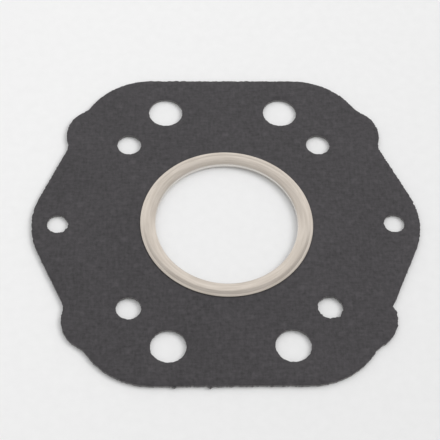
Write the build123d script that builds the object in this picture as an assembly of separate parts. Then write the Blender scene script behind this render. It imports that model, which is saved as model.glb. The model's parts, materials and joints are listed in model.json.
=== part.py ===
"""Cylinder head gasket: a die-cut composite sheet with a stainless fire ring folded round its bore.

Millimetres. X runs along the gasket's length, Y across it and +Z up through its thickness.
The origin is on the bore's axis, in the plane that the gasket rests on.
The gasket lies on the lower flange of its fire ring, which stands a little proud of the sheet.
"""
from build123d import *
import os
from math import acos, atan2, cos, hypot

# ---- Fire ring ----------------------------------------------------------------------------------
BORE_R = 20.5             # wall that lines the bore, for a 40 mm cylinder with room round it
FLANGE_WIDTH = 4.45       # each flange, from the bore's wall to its outer edge
STRIP_T = 0.3             # stainless strip that the ring is folded from
BEAD_HEIGHT = 0.3         # each flange's raised bead, above its lip
SHOULDER_WIDTH = 1.9      # sloping shoulder, from the bore's wall out to the bead's crest
LIP_WIDTH = 0.75          # flat lip at the flange's rim, which bears on the sheet
JOGGLE_WIDTH = 0.5        # short slope that steps the bead down to the lip
FOLD_R = 0.42             # outside radius of each fold at the bore

# ---- Sheet --------------------------------------------------------------------------------------
SHEET_T = 0.8             # thickness of the composite sheet
FOLD_CLEARANCE = 0.05     # between the sheet's bore edge and the curve of the folds

BODY_LENGTH = 86.4        # main body along X, between its two straight sides
BODY_WIDTH = 105.0        # main body across Y, which is the gasket's whole width
BODY_CORNER_R = 21.8      # large corners of the main body
EAR_R = 9.75              # rounded ear below each of the body's corners
EAR_INSET_X = 6.1         # ear's centre, in from the body's straight side
EAR_INSET_Y = 20.65       # ear's centre, in from the body's long edge
LENGTH = 112.3            # over both noses along X
NOSE_R = 23.0             # rounded end of each nose
FLANK_ROOT = 7.05         # where a nose's flank runs in under an ear, out from the ear's centre
UPPER_WAIST_R = 6.5       # hollow where an ear meets the body's corner
FLANK_WAIST_R = 5.0       # hollow where an ear meets the nose's flank

# ---- Holes --------------------------------------------------------------------------------------
LARGE_HOLE_R = 5.05       # four coolant passages
LARGE_SPACING_X = 34.5
LARGE_INSET_Y = 12.2      # their centres, in from the body's long edges
STUD_HOLE_R = 3.55        # four cylinder head studs, on a square round the bore
STUD_SPACING = 56.4
NOSE_HOLE_R = 3.05        # two locating holes, one in each nose
NOSE_HOLE_INSET = 7.45    # their centres, in from the noses' ends

# ---- Worked out ---------------------------------------------------------------------------------
LIP_Z = SHEET_T / 2 + STRIP_T         # lip's outer face, above the gasket's middle plane
BEAD_Z = LIP_Z + BEAD_HEIGHT          # bead's crest, above the middle plane
MID_Z = BEAD_Z                        # middle plane, with the lower bead resting on Z = 0
RING_R = BORE_R + FLANGE_WIDTH        # outer edge of both flanges
SHEET_BORE_R = BORE_R + FOLD_R + FOLD_CLEARANCE
EAR_X = BODY_LENGTH / 2 - EAR_INSET_X
EAR_Y = BODY_WIDTH / 2 - EAR_INSET_Y
LARGE_Y = BODY_WIDTH / 2 - LARGE_INSET_Y
NOSE_HOLE_X = LENGTH / 2 - NOSE_HOLE_INSET


def body_outline():
    """Main body: a rounded rectangle that covers the cylinder's water jacket."""
    return RectangleRounded(BODY_LENGTH, BODY_WIDTH, BODY_CORNER_R)


def nose_outline():
    """Two noses: each flank runs straight from under an ear and meets the round end tangentially."""
    root_x = EAR_X + FLANK_ROOT
    centre_x = LENGTH / 2 - NOSE_R
    towards_root = atan2(EAR_Y, root_x - centre_x)
    tangent = towards_root - acos(NOSE_R / hypot(root_x - centre_x, EAR_Y))
    point_x = centre_x + NOSE_R / cos(tangent)
    corners = [
        (point_x, 0), (root_x, EAR_Y), (-root_x, EAR_Y),
        (-point_x, 0), (-root_x, -EAR_Y), (root_x, -EAR_Y),
    ]
    flanks = make_face(Polyline(*corners, close=True))
    points = flanks.vertices().filter_by(lambda v: abs(v.Y) < EAR_Y / 2)
    return fillet(points, NOSE_R)


def ear_outline():
    """Four round ears. Each circle is turned to start inside the body, so its rim has no corner."""
    ears = Sketch()
    for x, start in ((EAR_X, 180), (-EAR_X, 0)):
        ears += [Pos(x, y) * Rot(0, 0, start) * Circle(EAR_R) for y in (EAR_Y, -EAR_Y)]
    return ears


def sheet_outline():
    """Body, noses and ears joined, with the eight hollows between them rounded."""
    outline = body_outline() + nose_outline() + ear_outline()
    upper_waists = outline.vertices().filter_by(lambda v: abs(v.Y) > EAR_Y and abs(v.X) > EAR_X)
    outline = fillet(upper_waists, UPPER_WAIST_R)
    flank_waists = outline.vertices().filter_by(
        lambda v: EAR_Y - EAR_R < abs(v.Y) < EAR_Y and abs(v.X) > EAR_X)
    return fillet(flank_waists, FLANK_WAIST_R)


def gasket_sheet():
    """The composite sheet, stamped in one stroke: outline, bore and ten holes."""
    blank = sheet_outline() - Circle(SHEET_BORE_R)
    blank -= [place * Circle(LARGE_HOLE_R) for place in GridLocations(LARGE_SPACING_X, 2 * LARGE_Y, 2, 2)]
    blank -= [place * Circle(STUD_HOLE_R) for place in GridLocations(STUD_SPACING, STUD_SPACING, 2, 2)]
    blank -= [place * Circle(NOSE_HOLE_R) for place in GridLocations(2 * NOSE_HOLE_X, 1, 2, 1)]
    return Pos(0, 0, MID_Z - SHEET_T / 2) * extrude(blank, SHEET_T)


def ring_section():
    """The folded strip, cut through on one side of the bore, with X as radius and Y as height."""
    lip_r = RING_R - LIP_WIDTH
    upper_side = [
        (BORE_R, LIP_Z), (BORE_R + SHOULDER_WIDTH, BEAD_Z), (lip_r - JOGGLE_WIDTH, BEAD_Z),
        (lip_r, LIP_Z), (RING_R, LIP_Z),
    ]
    lower_side = [(r, -z) for r, z in reversed(upper_side)]
    outside = Polyline(*lower_side, *upper_side)
    strip = make_face(offset(outside, STRIP_T, side=Side.RIGHT, kind=Kind.INTERSECTION, closed=True))
    outer_folds = strip.vertices().group_by(Axis.X)[0]
    return fillet(outer_folds, FOLD_R)


def fire_ring():
    """The section turned once round the bore's axis."""
    return Pos(0, 0, MID_Z) * revolve(Plane.XZ * ring_section(), Axis.Z)


pieces = {
    "gasket_sheet": gasket_sheet(),
    "fire_ring": fire_ring(),
}
os.makedirs("parts", exist_ok=True)
for name, piece in pieces.items():
    export_step(piece, f"parts/{name}.step")
    print(name, "solids", len(piece.solids()), "volume", round(piece.volume, 2), "mm3")
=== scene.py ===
# %% [markdown]
# # A cylinder head gasket
# This lesson dresses a small head gasket: a stamped sheet of graphite-coloured composite, and a
# stainless fire ring folded round its bore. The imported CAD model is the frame. It gives the places and
# the outer sizes, so the dressed pieces can't drift from it. All lengths are metres.

# %% Load the frame and keep its box
import json
from math import ceil, cos, exp, hypot, pi, radians, sin

import bmesh
import bpy
from mathutils import Matrix, Vector, noise


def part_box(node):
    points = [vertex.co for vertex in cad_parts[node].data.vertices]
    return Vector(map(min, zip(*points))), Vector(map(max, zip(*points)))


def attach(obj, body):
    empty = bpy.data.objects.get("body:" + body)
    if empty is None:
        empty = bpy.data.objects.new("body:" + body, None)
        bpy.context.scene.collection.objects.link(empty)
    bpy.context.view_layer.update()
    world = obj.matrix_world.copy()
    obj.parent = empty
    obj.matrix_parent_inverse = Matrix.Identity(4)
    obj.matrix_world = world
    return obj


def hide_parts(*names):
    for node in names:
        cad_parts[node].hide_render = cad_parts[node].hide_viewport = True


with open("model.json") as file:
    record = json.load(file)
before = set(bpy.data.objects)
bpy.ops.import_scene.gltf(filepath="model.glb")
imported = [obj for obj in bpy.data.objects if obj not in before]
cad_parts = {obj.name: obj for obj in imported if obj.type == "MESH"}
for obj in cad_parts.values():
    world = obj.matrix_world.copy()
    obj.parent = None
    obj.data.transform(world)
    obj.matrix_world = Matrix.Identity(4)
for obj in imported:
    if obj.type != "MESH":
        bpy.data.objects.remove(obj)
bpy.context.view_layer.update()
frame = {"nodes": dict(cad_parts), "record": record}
MM = 0.001

# %% [markdown]
# The record names the holes as mounts, with their spacing and radius. Reading them from there keeps
# the ragged holes of the dressed sheet exactly where the studs go.

# %% Read the holes, the sheet and the ring from the frame
mounts = {mount["name"]: mount for mount in frame["record"]["mounts"]}


def hole_places(name):
    """Centre and radius of each hole of one pattern."""
    dims = mounts[name]["dims"]
    half_x = dims["spacing_x_mm"] * MM / 2
    half_y = dims.get("spacing_y_mm", 0) * MM / 2
    rows = (-half_y, half_y) if half_y else (0,)
    return [(Vector((x, y)), dims["hole_r_mm"] * MM) for x in (-half_x, half_x) for y in rows]


holes = hole_places("coolant_holes") + hole_places("stud_holes") + hole_places("nose_holes")
bore_r = mounts["cylinder_bore"]["dims"]["r_mm"] * MM
sheet_low, sheet_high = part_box("gasket_sheet")
ring_low, ring_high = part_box("fire_ring")
ring_r = ring_high.x
middle_z = (ring_low.z + ring_high.z) / 2
sheet_t = sheet_high.z - sheet_low.z
print(len(holes), "holes, sheet", round(sheet_t / MM, 2), "mm, ring out to", round(ring_r / MM, 2), "mm")

# %% [markdown]
# Blender's operators act on whatever is selected, and the frame arrives with its nodes selected.
# These helpers give one object the whole stage, so that no operator reaches a neighbour.

# %% Selection helpers


def take(piece):
    """Selects this piece alone and makes it active."""
    bpy.ops.object.select_all(action="DESELECT")
    piece.select_set(True)
    bpy.context.view_layer.objects.active = piece


def edit(piece, kind="VERT"):
    """Opens the piece in edit mode with nothing selected."""
    take(piece)
    bpy.ops.object.mode_set(mode="EDIT")
    bpy.ops.mesh.select_mode(type=kind)
    bpy.ops.mesh.select_all(action="DESELECT")


def pick(piece, parts, test):
    """Selects the edges or faces of the open mesh that pass a test, and says how many."""
    mesh = bmesh.from_edit_mesh(piece.data)
    found = [part for part in getattr(mesh, parts) if test(part)]
    for part in found:
        part.select_set(True)
    mesh.select_flush_mode()
    bmesh.update_edit_mesh(piece.data)
    return len(found)


def apply_modifier(piece, kind, **settings):
    """Adds a modifier, sets it and applies it."""
    take(piece)
    modifier = piece.modifiers.new(kind.title(), kind)
    for name, value in settings.items():
        setattr(modifier, name, value)
    bpy.ops.object.modifier_apply(modifier=modifier.name)


# %% [markdown]
# ## The sheet's cut lines
# A steel rule die stamps the outline and every hole in one stroke. So the sheet starts as its cut
# lines alone: a copy of the flat top, with its inside removed, and each line divided finely enough to
# show a fibrous edge. Starting from the frame's own lines means that the outline can't drift.

# %% Keep only the cut lines
CUT_STEP = 0.28 * MM
FACES_UP = 0.9          # upward share of a normal, past which a face belongs to the flat top

sheet = bpy.data.objects.new("composite_sheet", frame["nodes"]["gasket_sheet"].data.copy())
bpy.context.scene.collection.objects.link(sheet)
sheet.data.materials.clear()
edit(sheet, "FACE")
bpy.ops.mesh.select_all(action="SELECT")
bpy.ops.mesh.remove_doubles(threshold=0.001 * MM)
bpy.ops.mesh.select_all(action="DESELECT")
pick(sheet, "faces", lambda face: face.normal.z < FACES_UP)
bpy.ops.mesh.delete(type="FACE")
bpy.ops.mesh.select_all(action="SELECT")
bpy.ops.mesh.region_to_loop()
bpy.ops.mesh.select_mode(type="EDGE")
bpy.ops.mesh.select_all(action="INVERT")
bpy.ops.mesh.delete(type="EDGE_FACE")
while True:
    bpy.ops.mesh.select_all(action="DESELECT")
    if not pick(sheet, "edges", lambda edge: edge.calc_length() > CUT_STEP * 1.5):
        break
    bpy.ops.mesh.subdivide(number_cuts=1)
bpy.ops.object.mode_set(mode="OBJECT")
print("cut lines", len(sheet.data.vertices), "points")

# %% [markdown]
# ## The frayed edge
# Composite tears a little as the die goes through, so each cut line wanders by a tenth of a
# millimetre or two. Smooth noise, read at the point's own place, gives the same edge on every run. A
# few larger marks are listed: a nick in one waist, a crumb on the near edge, and torn holes.

# %% Fray the cut lines
FRAY = 0.21 * MM
FRAY_SCALES = ((0.9, 0.7), (2.2, 0.8), (4.6, 0.5))      # waves per millimetre, and their share
HOLE_REACH = 0.35 * MM
CLEAN_HOLE = 0.6         # share of the fray on a cleanly cut hole
TORN_HOLE = 1.4          # and on one that tore

# Place, width and height of each listed mark. Out of the material is plus, into it is minus.
MARKS = (
    (Vector((0.0464, -0.0278)), 0.85 * MM, -0.48 * MM),
    (Vector((0.0466, -0.0299)), 0.40 * MM, 0.24 * MM),
    (Vector((0.0416, -0.0416)), 0.8 * MM, 0.22 * MM),
    (Vector((0.0285, -0.0524)), 0.9 * MM, 0.25 * MM),
    (Vector((-0.0035, -0.0525)), 0.7 * MM, 0.22 * MM),
    (Vector((-0.0060, -0.0525)), 0.42 * MM, 0.80 * MM),
    (Vector((-0.0156, -0.0525)), 0.35 * MM, 0.38 * MM),
    (Vector((0.0305, -0.0309)), 0.5 * MM, -0.40 * MM),
    (Vector((-0.0219, -0.0424)), 0.45 * MM, -0.22 * MM),
)
TORN_HOLES = (Vector((-0.0487, 0)), Vector((0.0282, -0.0282)))


def ripple(place):
    """Signed wander of a cut line at a place, about -1 to 1."""
    scaled = Vector((place.x, place.y, 0)) / MM
    return sum(share * noise.noise(scaled * rate) for rate, share in FRAY_SCALES)


def hole_at(place):
    """The hole whose rim passes through this place, or None."""
    for centre, radius in holes:
        if abs((place - centre).length - radius) < HOLE_REACH:
            return centre, radius
    return None


def torn(centre):
    """Whether the hole at this centre is one of those that tore."""
    return any((centre - place).length < MM for place in TORN_HOLES)


def line_normals(mesh):
    """Sideways direction of the cut line at each vertex, in the plane of the sheet."""
    near = {vertex.index: [] for vertex in mesh.vertices}
    for edge in mesh.edges:
        a, b = edge.vertices
        near[a].append(b)
        near[b].append(a)
    result = {}
    for index, (before, after) in near.items():
        along = (mesh.vertices[after].co - mesh.vertices[before].co).to_2d().normalized()
        result[index] = Vector((along.y, -along.x))
    return result


normals = line_normals(sheet.data)
furthest = 0
for vertex in sheet.data.vertices:
    place = vertex.co.to_2d()
    marks = sum(high * exp(-((place - at).length / wide) ** 2) for at, wide, high in MARKS)
    hole = hole_at(place)
    if hole:
        centre, radius = hole
        outward = (place - centre).normalized()
        rough = TORN_HOLE if torn(centre) else CLEAN_HOLE
        move = centre + outward * (radius + FRAY * rough * ripple(place) - marks) - place
    elif place.length < ring_r:
        move = Vector((0, 0))
    else:
        outward = normals[vertex.index]
        if outward.dot(place) < 0:
            outward = -outward
        move = outward * (FRAY * ripple(place) + marks)
    vertex.co.x += move.x
    vertex.co.y += move.y
    furthest = max(furthest, move.length)
print("frayed", len(sheet.data.vertices), "points by up to", round(furthest / MM, 2), "mm")

# %% [markdown]
# ## From cut lines to a sheet
# Filling between the lines gives the flat face. The fill is then cut into a grid by bisecting it
# along X and Y, because a face can only follow the sheet's slight sag where it has points to bend at.
# Where a grid line grazes a rim it leaves two points almost on each other, so those are merged before
# extruding downwards in short steps, which makes the cut wall with loops to roughen.

# %% Fill the face, grid it and give it thickness
GRID = 2.5 * MM
WALL_STEPS = 3
MERGE = 0.02 * MM


def bisect_along(axis, low, high):
    """Cuts the open mesh across one axis at every grid line."""
    lines = ceil((high - low) / GRID)
    for k in range(1, lines):
        place = Vector((0, 0, 0))
        place[axis] = low + k * (high - low) / lines
        direction = Vector((0, 0, 0))
        direction[axis] = 1
        bpy.ops.mesh.select_all(action="SELECT")
        bpy.ops.mesh.bisect(plane_co=place, plane_no=direction, threshold=0.0001 * MM)


edit(sheet, "EDGE")
bpy.ops.mesh.select_all(action="SELECT")
bpy.ops.mesh.fill(use_beauty=True)
bpy.ops.mesh.select_all(action="SELECT")
bpy.ops.mesh.dissolve_limited(angle_limit=radians(1), use_dissolve_boundaries=False)
bisect_along(0, sheet_low.x, sheet_high.x)
bisect_along(1, sheet_low.y, sheet_high.y)
bpy.ops.mesh.select_all(action="SELECT")
bpy.ops.mesh.remove_doubles(threshold=MERGE)
bpy.ops.mesh.select_mode(type="FACE")
bpy.ops.mesh.select_all(action="SELECT")
for _ in range(WALL_STEPS):
    bpy.ops.mesh.extrude_region_move(
        TRANSFORM_OT_translate={"value": (0, 0, -sheet_t / WALL_STEPS)})
bpy.ops.mesh.select_all(action="SELECT")
bpy.ops.mesh.normals_make_consistent(inside=False)
bpy.ops.object.mode_set(mode="OBJECT")
print("sheet", len(sheet.data.polygons), "faces")

# %% [markdown]
# ## The torn wall and the sag
# Midway down, the wall's loops are pushed in and out, as torn fibres are. The sheet is also slack:
# gripped at the ring, it sags a few tenths of a millimetre towards its outer edge.

# %% Roughen the wall and let the sheet sag
WALL_FRAY = 0.09 * MM
WALL_RATE = 2.3                       # waves per millimetre down and along the wall
EDGE_BEVEL = 0.06 * MM
SAG = 0.40 * MM
SAG_END = 50 * MM
ASIDE = Vector((37.0, 11.0, 5.0))     # a second reading of the noise, far from the first


def eased(value):
    """0 to 1 with a soft start and end."""
    value = min(max(value, 0), 1)
    return value * value * (3 - 2 * value)


for vertex in sheet.data.vertices:
    place = vertex.co.to_2d()
    depth = (sheet_high.z - vertex.co.z) / sheet_t
    if 0.1 < depth < 0.9 and place.length > ring_r:
        at = Vector((place.x, place.y, vertex.co.z)) / MM * WALL_RATE
        vertex.co.x += WALL_FRAY * noise.noise(at)
        vertex.co.y += WALL_FRAY * noise.noise(at + ASIDE)
    vertex.co.z -= SAG * eased((place.length - ring_r) / (SAG_END - ring_r))
apply_modifier(sheet, "BEVEL", width=EDGE_BEVEL, segments=2, limit_method="ANGLE", angle_limit=radians(60))
take(sheet)
bpy.ops.object.shade_smooth_by_angle(angle=radians(35))
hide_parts("gasket_sheet")
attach(sheet, "root")
print("sheet sags", round(SAG / MM, 2), "mm,", len(sheet.data.polygons), "faces")

# %% [markdown]
# ## The fire ring
# The ring is one strip, folded over the sheet's edge. It could be turned from a drawn section, but by
# hand it is quicker to start from its outer rim, a plain circle, and extrude that loop inwards, up
# over the bead, down the shoulder and through the bore. The lower flange is the same walk in reverse.
# The folds are then bevelled round, and the strip gets its gauge last. The frame gives the bore, the rim
# and the height. The gauge, lip, joggle and shoulder are the CAD section's own values.

# %% Walk the rim loop round the section
STEPS_ROUND = 288
STRIP = 0.3 * MM
LIP = 0.75 * MM
JOGGLE = 0.5 * MM
SHOULDER = 1.9 * MM

# How far each bend is rounded: the bore's folds, the bead's inner and outer bend, the joggle's foot
FOLD = 0.42 * MM
CREST = 0.75 * MM
BROW = 0.48 * MM
FOOT = 0.08 * MM

lip_up = sheet_t / 2 + STRIP
bead_up = middle_z
# Radius, height over the middle plane, and rounding of each bend.
upper = [
    (ring_r, lip_up, 0), (ring_r - LIP, lip_up, FOOT), (ring_r - LIP - JOGGLE, bead_up, BROW),
    (bore_r + SHOULDER, bead_up, CREST), (bore_r, lip_up, FOLD),
]
walk = upper + [(radius, -up, bend) for radius, up, bend in reversed(upper)]

bpy.ops.object.select_all(action="DESELECT")
bpy.ops.mesh.primitive_circle_add(
    vertices=STEPS_ROUND, radius=walk[0][0], fill_type="NOTHING",
    location=(0, 0, 0), enter_editmode=False)
ring = bpy.context.active_object
ring.name = "folded_fire_ring"
edit(ring, "EDGE")
bpy.ops.mesh.select_all(action="SELECT")
bpy.ops.transform.translate(value=(0, 0, middle_z + walk[0][1]))
for (radius, up, _), (next_radius, next_up, _) in zip(walk, walk[1:]):
    bpy.ops.mesh.extrude_edges_move(TRANSFORM_OT_translate={"value": (0, 0, next_up - up)})
    scale = next_radius / radius
    bpy.ops.transform.resize(value=(scale, scale, 1), center_override=(0, 0, middle_z))
print("ring walked through", len(walk), "loops")

# %% [markdown]
# Sheet metal never bends to a knife edge. Each loop is bevelled by its own amount, so the bore's folds
# are tight, the bead is a low soft dome, and the joggle falls from its round brow to the lip.

# %% Round the folds
ON_LOOP = 0.01 * MM
WELD = 0.002 * MM


def loop_at(radius, up):
    """Test for an edge that runs round the ring at this radius and height."""
    def on_loop(point):
        off_radius = abs(hypot(point.x, point.y) - radius)
        off_height = abs(point.z - middle_z - up)
        return max(off_radius, off_height) < ON_LOOP
    return lambda edge: all(on_loop(vertex.co) for vertex in edge.verts)


for radius, up, bend in walk[1:-1]:
    bpy.ops.mesh.select_all(action="DESELECT")
    found = pick(ring, "edges", loop_at(radius, up))
    assert found == STEPS_ROUND, f"the loop at {radius / MM:.2f} mm has {found} edges"
    bpy.ops.mesh.bevel(offset_type="OFFSET", offset=bend, segments=6, affect="EDGES", clamp_overlap=True)
bpy.ops.mesh.select_all(action="SELECT")
bpy.ops.mesh.remove_doubles(threshold=WELD)
bpy.ops.mesh.normals_make_consistent(inside=False)
bpy.ops.object.mode_set(mode="OBJECT")
print("ring rounded to", len(ring.data.polygons), "faces")

# %% [markdown]
# The wall gets its gauge on the side that faces the sheet, so the outside keeps the frame's sizes.
# A hair of bevel then takes the sharpness off the strip's two sheared ends.

# %% Give the strip its gauge
SHEARED_EDGE = 0.07 * MM

bore_face = min(ring.data.polygons, key=lambda face: hypot(face.center.x, face.center.y))
faces_axis = bore_face.normal.to_2d().dot(bore_face.center.to_2d()) < 0
if not faces_axis:
    edit(ring, "FACE")
    bpy.ops.mesh.select_all(action="SELECT")
    bpy.ops.mesh.flip_normals()
    bpy.ops.object.mode_set(mode="OBJECT")
apply_modifier(ring, "SOLIDIFY", thickness=STRIP, offset=-1, use_even_offset=True)
apply_modifier(ring, "BEVEL", width=SHEARED_EDGE, segments=3, limit_method="ANGLE", angle_limit=radians(55))
take(ring)
bpy.ops.object.shade_smooth_by_angle(angle=radians(40))
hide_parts("fire_ring")
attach(ring, "root")
radii = [hypot(v.co.x, v.co.y) / MM for v in ring.data.vertices]
heights = [v.co.z / MM for v in ring.data.vertices]
print("ring from radius", round(min(radii), 2), "to", round(max(radii), 2), "mm")
print("ring from height", round(min(heights), 2), "to", round(max(heights), 2), "mm")

# %% [markdown]
# ## Writing a finish as sums
# A procedural finish is arithmetic on coordinates. This small class wraps a socket, so that an
# expression such as `1 - mask * 0.3` adds its own Math nodes, and `node` makes any other kind.

# %% A small language for finishes


class Field:
    """A value that varies over a surface."""

    def __init__(self, tree, socket=None):
        self.tree = tree
        self.socket = socket

    def node(self, kind, settings, sockets, output=0):
        """Any node, from its type, its settings and the values or links of its sockets."""
        made = self.tree.nodes.new(kind)
        for name, value in settings.items():
            setattr(made, name, value)
        for name, value in sockets.items():
            if isinstance(value, Field):
                self.tree.links.new(value.socket, made.inputs[name])
            else:
                made.inputs[name].default_value = value
        return Field(self.tree, made.outputs[output])

    def maths(self, operation, first, second=0.0):
        return self.node("ShaderNodeMath", {"operation": operation}, {0: first, 1: second})

    def __add__(self, other):
        return self.maths("ADD", self, other)

    def __radd__(self, other):
        return self.maths("ADD", other, self)

    def __sub__(self, other):
        return self.maths("SUBTRACT", self, other)

    def __rsub__(self, other):
        return self.maths("SUBTRACT", other, self)

    def __mul__(self, other):
        return self.maths("MULTIPLY", self, other)

    def __rmul__(self, other):
        return self.maths("MULTIPLY", other, self)

    def __truediv__(self, other):
        return self.maths("DIVIDE", self, other)

    def ramp(self, low, high):
        """0 below low and 1 above high, eased between."""
        return self.node("ShaderNodeMapRange", {"interpolation_type": "SMOOTHSTEP"},
                         {"Value": self, "From Min": low, "From Max": high})

    def noise(self, place, scale, detail=3.0, roughness=0.5):
        return self.node("ShaderNodeTexNoise", {}, {
            "Vector": place, "Scale": scale, "Detail": detail, "Roughness": roughness})

    def mix(self, share, first, second):
        """One colour turned into another by a share."""
        return self.node("ShaderNodeMix", {"data_type": "RGBA"}, {0: share, 6: first, 7: second}, 2)


def new_finish(name):
    """An empty material, its shader and its Object coordinates."""
    material = bpy.data.materials.new(name)
    material.use_nodes = True
    tree = material.node_tree
    shader = tree.nodes["Principled BSDF"]
    pen = Field(tree)
    place = Field(tree, tree.nodes.new("ShaderNodeTexCoord").outputs["Object"])
    parts = tree.nodes.new("ShaderNodeSeparateXYZ")
    tree.links.new(place.socket, parts.inputs[0])
    axes = [Field(tree, parts.outputs[k]) for k in range(3)]
    return material, shader, pen, place, axes


def wire(shader, socket, field):
    """Feeds a varying value to one of the shader's sockets."""
    field.tree.links.new(field.socket, shader.inputs[socket])


def grey(level, red=1.0, blue=1.0):
    """A near-neutral colour, with its red and blue as shares of its green."""
    return (level * red, level, level * blue, 1)


# %% [markdown]
# ## The composite
# Graphite-filled fibre is matt and almost black, with a fine mottle. The core under it is punched
# with rows of small tangs, and where a tang presses through, the facing is squared off and a shade
# paler. The marks lie on a slightly turned lattice of about 6 mm, with two marks to a cell.

# %% The sheet's finish
CELL_X = 6.21 * MM
CELL_Y = 6.03 * MM
LATTICE_TURN = radians(1.9)
MARK_HALF = 0.13
MARKS_IN_CELL = ((0.73, 0.76), (0.23, 0.27))

# Noise scales, in waves per metre
CLOUDS = 55.0             # broad light and dark areas
PATCHES = 160.0           # areas where the core marks show or fade
WANDER = 420.0            # how the marks stray from the lattice
MOTTLE = 900.0            # the fine mottle
FIBRES = 2600.0           # single torn fibres
ALONG_THREAD = 320        # threads are long one way
ACROSS_THREAD = 1500      # and thin the other

DARK_FACING = grey(0.0136, 1.09, 1.09)
PALE_FACING = grey(0.069, 1.09, 1.09)
TORN_FIBRE = grey(0.21, 1.03, 0.97)
SKIN = 0.05 * MM          # depth at which the pale torn wall begins
SKIN_END = 0.16 * MM      # and at which it is full

material, shader, pen, place, (x, y, z) = new_finish("matt_composite")
along = (x * cos(LATTICE_TURN) + y * sin(LATTICE_TURN)) / CELL_X
across = (y * cos(LATTICE_TURN) - x * sin(LATTICE_TURN)) / CELL_Y
wander = (pen.noise(place, WANDER) - 0.5) * 0.22


def off_mark(distance):
    """Distance from the nearest mark's middle, in cells, along one axis."""
    nearest = pen.node("ShaderNodeMath", {"operation": "WRAP"}, {0: distance + wander, 1: 0.5, 2: -0.5})
    return pen.maths("ABSOLUTE", nearest)


spots = []
for u, v in MARKS_IN_CELL:
    off = pen.maths("MAXIMUM", off_mark(along - u), off_mark(across - v))
    spots.append(1 - off.ramp(MARK_HALF * 0.4, MARK_HALF * 1.6))
marks = pen.maths("MAXIMUM", *spots)
lengthwise = pen.node("ShaderNodeCombineXYZ", {}, {
    0: x * ALONG_THREAD, 1: y * ACROSS_THREAD, 2: z * MOTTLE})
crosswise = pen.node("ShaderNodeCombineXYZ", {}, {
    0: x * ACROSS_THREAD, 1: y * ALONG_THREAD, 2: z * MOTTLE})
threads = pen.noise(lengthwise, 1.0, 3.0, 0.6) * 0.5 + pen.noise(crosswise, 1.0, 3.0, 0.6) * 0.5
mottle = pen.noise(place, MOTTLE, 5.0, 0.65) * 0.5 + threads * 0.5
cloud = pen.noise(place, CLOUDS, 2.0)
patches = pen.noise(place, PATCHES, 2.0).ramp(0.35, 0.7)

# The mottle is stretched to full contrast, then clouds and core marks lighten it a little
pale = mottle * 2.15 - 0.81 + cloud * 0.30 + marks * patches * 0.22
faced = pen.mix(pale, DARK_FACING, PALE_FACING)
fibre = pen.noise(place, FIBRES, 3.0, 0.7)

# The wall is found by its depth under the sagging top, so the paler torn fibre follows the sag
outer = pen.maths("SQRT", x * x + y * y)
slope = ((outer - ring_r) / (SAG_END - ring_r)).ramp(0.0, 1.0) * SAG
depth = sheet_high.z - slope - z
in_wall = depth.ramp(SKIN, SKIN_END) * (1 - depth.ramp(sheet_t - SKIN_END, sheet_t - SKIN))
wire(shader, "Base Color", pen.mix(in_wall * (0.35 + fibre * 0.5), faced, TORN_FIBRE))
wire(shader, "Roughness", 0.46 + mottle * 0.18)
shader.inputs["Specular IOR Level"].default_value = 0.45
relief = mottle * 0.5 + fibre * 0.3 + marks * 0.5
wire(shader, "Normal", pen.node("ShaderNodeBump", {}, {
    "Strength": 0.5, "Distance": 0.06 * MM, "Height": relief}))
sheet.data.materials.append(material)
print("composite finish has", len(material.node_tree.nodes), "nodes")

# %% [markdown]
# ## The stainless strip
# The ring was spun as it was pressed, so its fine scratches run round the bore. Reading noise by
# radius, with only a slow change in direction, draws those rings without a seam. The tool's mandrel
# polished the wall that lines the bore, so that is smoother and paler, and mirrors what it stands on.

# %% The ring's finish
FINE_LINES = 9000         # waves per metre of radius
BROAD_BANDS = 1500
LINING_END = 0.30 * MM    # how far out from the bore the polish fades
DARK_STEEL = (0.505, 0.450, 0.392, 1)
PALE_STEEL = (0.685, 0.624, 0.559, 1)
POLISHED_STEEL = (0.78, 0.75, 0.71, 1)

material, shader, pen, _, (x, y, z) = new_finish("satin_stainless")
radius = pen.maths("SQRT", x * x + y * y)
turned = pen.node("ShaderNodeCombineXYZ", {}, {
    0: radius * FINE_LINES, 1: x / radius * 2.0, 2: y / radius * 2.0 + z * 2500})
lines = pen.noise(turned, 1.0, 4.0, 0.6)
broad = pen.node("ShaderNodeCombineXYZ", {}, {
    0: radius * BROAD_BANDS, 1: x / radius * 3.0, 2: y / radius * 3.0})
bands = pen.noise(broad, 1.0, 2.0)
lining = 1 - radius.ramp(bore_r + 0.04 * MM, bore_r + LINING_END)
tone = lines.ramp(0.25, 0.75) * 0.55 + bands.ramp(0.3, 0.7) * 0.45
flange = pen.mix(tone, DARK_STEEL, PALE_STEEL)
wire(shader, "Base Color", pen.mix(lining, flange, POLISHED_STEEL))
wire(shader, "Roughness", (0.28 + lines * 0.16) * (1 - lining * 0.4))
shader.inputs["Metallic"].default_value = 1.0
relief = (lines * 0.6 + bands * 0.4) * (1 - lining)
wire(shader, "Normal", pen.node("ShaderNodeBump", {}, {
    "Strength": 0.35, "Distance": 0.03 * MM, "Height": relief}))
ring.data.materials.append(material)
print("stainless finish has", len(material.node_tree.nodes), "nodes")

# %% [markdown]
# ## The table, the light and the camera
# A pale table carries the shadow. Its colour is painted a shade darker on the lamp's side, a painted
# shade that evens out the lamp's stronger light there. One soft lamp from the right draws the short
# shadows inside the holes, and is kept out of the metal's reflections. The room's own light fills the
# rest: it is bright beyond the part and dimmer overhead and behind the camera, and the flat metal
# mirrors the place where it turns.

# %% The table
# The colour near the lamp is painted shade: the table is darker there to offset the lamp's stronger light.
PAINTED_SHADE_NEAR_LAMP = (0.78, 0.78, 0.78, 1)
FAR_FROM_LAMP = (0.88, 0.88, 0.88, 1)

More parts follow.
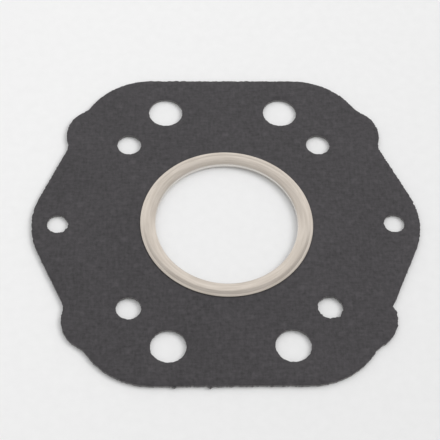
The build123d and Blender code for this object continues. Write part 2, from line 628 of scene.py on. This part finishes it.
bpy.ops.object.select_all(action="DESELECT")
bpy.ops.mesh.primitive_plane_add(size=6, location=(0, 0, 0))
table = bpy.context.active_object
table.name = "pale_table"
material, shader, pen, place, (x, y, z) = new_finish("pale_table")
# The share is painted shade towards the lamp's side, with a random tone mixed in.
painted_shade_and_tone = (x - y * 0.5).ramp(-0.12, 0.12) + (pen.noise(place, 350.0, 4.0) - 0.5) * 0.5
wire(shader, "Base Color", pen.mix(painted_shade_and_tone, FAR_FROM_LAMP, PAINTED_SHADE_NEAR_LAMP))
shader.inputs["Roughness"].default_value = 0.9
shader.inputs["Specular IOR Level"].default_value = 0.1
table.data.materials.append(material)
print("table", round(table.dimensions.x, 1), "m wide")

# %% [markdown]
# The room is the world's colour. It depends only on how far a direction points beyond the part, so it
# has no edge that could show as a line in the metal.

# %% The room
DIM = 0.46                # the room overhead and behind the camera
BRIGHTER = 0.56           # what the far wall adds to that
FAR_WALL = (0.44, 0.62)   # where the far wall begins and is full, as a share of straight beyond
LOW_WALL = (0.64, 0.80)   # where it falls off again, low down
LOW_LOSS = 0.66
ROOM_STRENGTH = 1.50

world = bpy.data.worlds.new("soft_room")
bpy.context.scene.world = world
world.use_nodes = True
room = Field(world.node_tree)
background = world.node_tree.nodes["Background"]
sky = Field(world.node_tree, world.node_tree.nodes.new("ShaderNodeTexCoord").outputs["Generated"])
split = world.node_tree.nodes.new("ShaderNodeSeparateXYZ")
world.node_tree.links.new(sky.socket, split.inputs[0])
beyond = Field(world.node_tree, split.outputs[1])
glow = DIM + beyond.ramp(*FAR_WALL) * BRIGHTER * (1 - beyond.ramp(*LOW_WALL) * LOW_LOSS)
wire(background, "Color", room.mix(glow, (0.0, 0.0, 0.0, 1), (1.0, 1.0, 1.0, 1)))
background.inputs["Strength"].default_value = ROOM_STRENGTH
print("room has", len(world.node_tree.nodes), "nodes")

# %% [markdown]
# The lamp is a wide disk, so that its shadows have soft edges, and it is turned to face the origin.

# %% The lamp
LAMP_FROM = Vector((1.05, 0.20, 0.95))
LAMP_SIZE = 0.85
LAMP_POWER = 8.1

lamp = bpy.data.lights.new("soft_lamp", "AREA")
lamp.shape = "DISK"
lamp.size = LAMP_SIZE
lamp.energy = LAMP_POWER
lamp_holder = bpy.data.objects.new("soft_lamp", lamp)
lamp_holder.location = LAMP_FROM
lamp_holder.visible_glossy = False
lamp_holder.rotation_euler = (-LAMP_FROM).to_track_quat("-Z", "Y").to_euler()
bpy.context.scene.collection.objects.link(lamp_holder)
print("lamp", round(LAMP_FROM.length, 2), "m away")

# %% [markdown]
# The camera stands a little to the left and looks down at 56 degrees through a long lens. It is
# built as a chain: out along its own axis, tilted up, turned round the part, then moved to its aim.

# %% The camera
AZIMUTH = radians(4.83)
ELEVATION = radians(56.23)
ROLL = radians(3.89)
DISTANCE = 0.4535
AIM = Vector((-0.00185, 0.00192, 0))
LENS = 127.95

camera = bpy.data.cameras.new("camera")
camera.lens = LENS
camera.sensor_width = 36
camera_holder = bpy.data.objects.new("camera", camera)
turn = Matrix.Rotation(-AZIMUTH, 4, "Z") @ Matrix.Rotation(pi / 2 - ELEVATION, 4, "X")
camera_holder.matrix_world = (
    Matrix.Translation(AIM) @ turn @ Matrix.Translation((0, 0, DISTANCE)) @ Matrix.Rotation(ROLL, 4, "Z"))
bpy.context.scene.collection.objects.link(camera_holder)
bpy.context.scene.camera = camera_holder
bpy.context.scene.view_settings.view_transform = "Standard"
print("camera at", [round(v / MM, 1) for v in camera_holder.matrix_world.translation], "mm")
